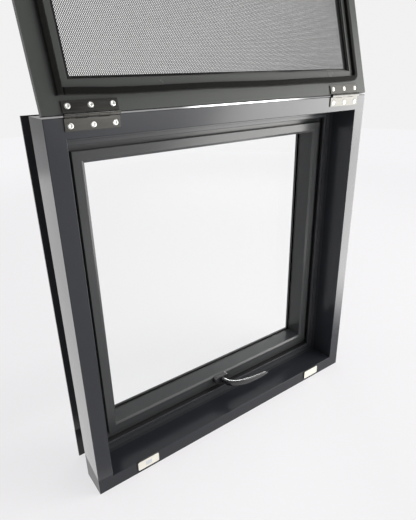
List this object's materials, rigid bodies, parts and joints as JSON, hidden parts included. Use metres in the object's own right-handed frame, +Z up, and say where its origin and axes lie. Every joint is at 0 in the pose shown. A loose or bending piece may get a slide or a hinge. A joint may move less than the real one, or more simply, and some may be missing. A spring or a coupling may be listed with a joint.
{
  "type": "top hung awning window with hinged insect screen",
  "caption": "Square black metal awning window for clamping in a wall: a top hung glazed sash, a deep room side box, and a hinged insect screen that opens upwards.",
  "frame": {"origin": "on the flat face of the outdoor flange that bears on the wall, midway along and across its bottom bar", "axes": "+X to the right seen from the room, +Y outdoors, +Z up"},
  "size_m": [0.5, 0.1466, 0.9853],
  "materials": {
    "frame_black": "satin",
    "sash_black": "satin",
    "glass": "polished",
    "rubber": "matte",
    "foam": "matte",
    "screen_black": "satin",
    "mesh": "matte",
    "steel": "polished",
    "nickel": "satin",
    "handle_black": "gloss",
    "case_black": "satin"
  },
  "bodies": {
    "frame": {"room_head": "frame_black", "room_sill": "frame_black", "room_left_jamb": "frame_black", "room_right_jamb": "frame_black", "outer_head": "frame_black", "outer_sill": "frame_black", "outer_left_jamb": "frame_black", "outer_right_jamb": "frame_black", "left_frame_leaf": "steel", "right_frame_leaf": "steel", "left_hinge_pin": "steel", "right_hinge_pin": "steel", "left_magnet": "nickel", "right_magnet": "nickel", "left_magnet_case": "case_black", "right_magnet_case": "case_black", "sash_hinge_frame_leaf": "sash_black", "sash_hinge_pin": "steel"},
    "sash": {"sash_top_rail": "sash_black", "sash_bottom_rail": "sash_black", "sash_left_stile": "sash_black", "sash_right_stile": "sash_black", "bead_top": "sash_black", "bead_bottom": "sash_black", "bead_left": "sash_black", "bead_right": "sash_black", "glass_pane": "glass", "glazing_gasket": "rubber", "weather_gasket": "rubber", "sash_hinge_sash_leaf": "sash_black", "handle_base": "handle_black"},
    "screen": {"screen_top_rail": "screen_black", "screen_bottom_rail": "screen_black", "screen_left_stile": "screen_black", "screen_right_stile": "screen_black", "screen_mesh": "mesh", "screen_spline": "rubber", "screen_seal": "foam", "left_screen_leaf": "steel", "right_screen_leaf": "steel", "left_catch_plate": "nickel", "right_catch_plate": "nickel"},
    "handle": {"handle_lever": "handle_black"}
  },
  "joints": [
    {"name": "screen_hinge", "type": "hinge", "parent": "frame", "child": "screen", "pos_m": [0, -0.0851, 0.49325], "axis": [1, 0, 0], "range_deg": [0, 195.7]},
    {"name": "sash_hinge", "type": "hinge", "parent": "frame", "child": "sash", "pos_m": [0, 0.0075, 0.47575], "axis": [1, 0, 0], "range_deg": [0, 45]},
    {"name": "handle_turn", "type": "hinge", "parent": "sash", "child": "handle", "pos_m": [-0.002, -0.0405, 0.04425], "axis": [0, -1, 0], "range_deg": [0, 90]}
  ]
}
